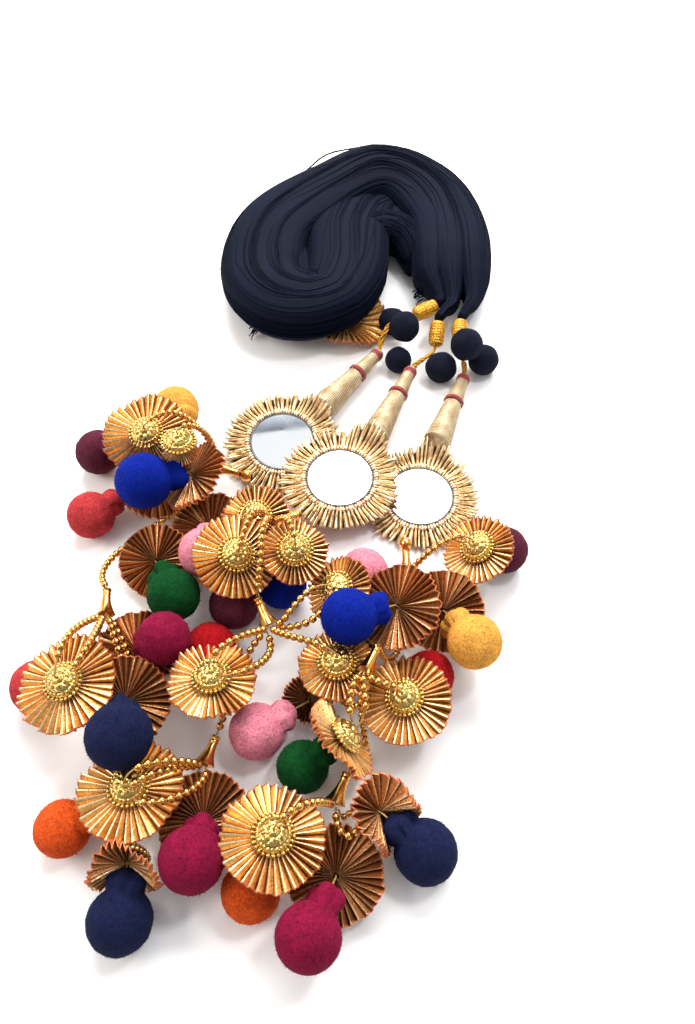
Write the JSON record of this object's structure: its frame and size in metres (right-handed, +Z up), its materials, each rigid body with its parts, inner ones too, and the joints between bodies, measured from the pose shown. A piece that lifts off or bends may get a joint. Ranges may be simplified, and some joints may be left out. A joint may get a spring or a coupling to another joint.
{
  "type": "hair braid tassel ornament",
  "caption": "Hair braid ornament: a folded hank of black thread, wound cones, framed mirrors, and bead strings that end in pleated ribbon flowers with wool pompoms.",
  "frame": {"origin": "under the middle of the bounding box, on the surface that the ornament lies on", "axes": "+Y from the pompoms towards the top of the folded hank, +X to the right as seen from the pompom end, +Z up off the surface"},
  "size_m": [0.1828, 0.3792, 0.0396],
  "materials": {
    "hank_thread": "satin",
    "copper_ribbon": "metallic",
    "yellow_zari": "metallic",
    "wool_black": "matte",
    "pale_gold_thread": "metallic",
    "red_thread": "matte",
    "mirror_glass": "polished",
    "pale_ribbon": "metallic",
    "gilt_metal": "polished",
    "stringing_thread": "matte",
    "gilt_filigree": "polished",
    "wool_maroon": "matte",
    "wool_yellow": "matte",
    "wool_blue": "matte",
    "wool_coral": "matte",
    "wool_green": "matte",
    "wool_navy": "matte",
    "wool_magenta": "matte",
    "wool_pink": "matte",
    "wool_red": "matte",
    "wool_orange": "matte"
  },
  "bodies": {
    "root": {"hank_inner": "hank_thread", "hank_middle": "hank_thread", "hank_outer": "hank_thread", "hank_fan": "copper_ribbon", "tie_knobs": "yellow_zari", "black_pompoms": "wool_black", "cone_left": "pale_gold_thread", "cone_middle": "pale_gold_thread", "cone_right": "pale_gold_thread", "bindings": "red_thread", "mirror_left": "mirror_glass", "mirror_middle": "mirror_glass", "mirror_right": "mirror_glass", "frill_left": "pale_ribbon", "frill_middle": "pale_ribbon", "frill_right": "pale_ribbon", "bells": "gilt_metal", "threads": "stringing_thread", "beads_left": "gilt_metal", "beads_middle": "gilt_metal", "beads_right": "gilt_metal", "caps_left": "gilt_filigree", "caps_middle": "gilt_filigree", "caps_right": "gilt_filigree", "fans_left_top": "copper_ribbon", "fans_left_end": "copper_ribbon", "fans_middle_top": "copper_ribbon", "fans_middle_mid": "copper_ribbon", "fans_middle_end": "copper_ribbon", "fans_right_top": "copper_ribbon", "fans_right_mid": "copper_ribbon", "fans_right_end": "copper_ribbon", "pompom_maroon_1": "wool_maroon", "pompom_yellow_1": "wool_yellow", "pompom_blue_1": "wool_blue", "pompom_coral_1": "wool_coral", "pompom_green_1": "wool_green", "pompom_coral_2": "wool_coral", "pompom_navy_1": "wool_navy", "pompom_magenta_1": "wool_magenta", "pompom_pink_1": "wool_pink", "pompom_maroon_2": "wool_maroon", "pompom_yellow_3": "wool_yellow", "pompom_blue_2": "wool_blue", "pompom_red_1": "wool_red", "pompom_pink_2": "wool_pink", "pompom_green_3": "wool_green", "pompom_orange_1": "wool_orange", "pompom_navy_2": "wool_navy", "pompom_magenta_2": "wool_magenta", "pompom_maroon_3": "wool_maroon", "pompom_blue_3": "wool_blue", "pompom_yellow_2": "wool_yellow", "pompom_red_2": "wool_red", "pompom_green_2": "wool_green", "pompom_pink_3": "wool_pink", "pompom_orange_2": "wool_orange", "pompom_magenta_3": "wool_magenta", "pompom_navy_3": "wool_navy"}
  },
  "joints": []
}
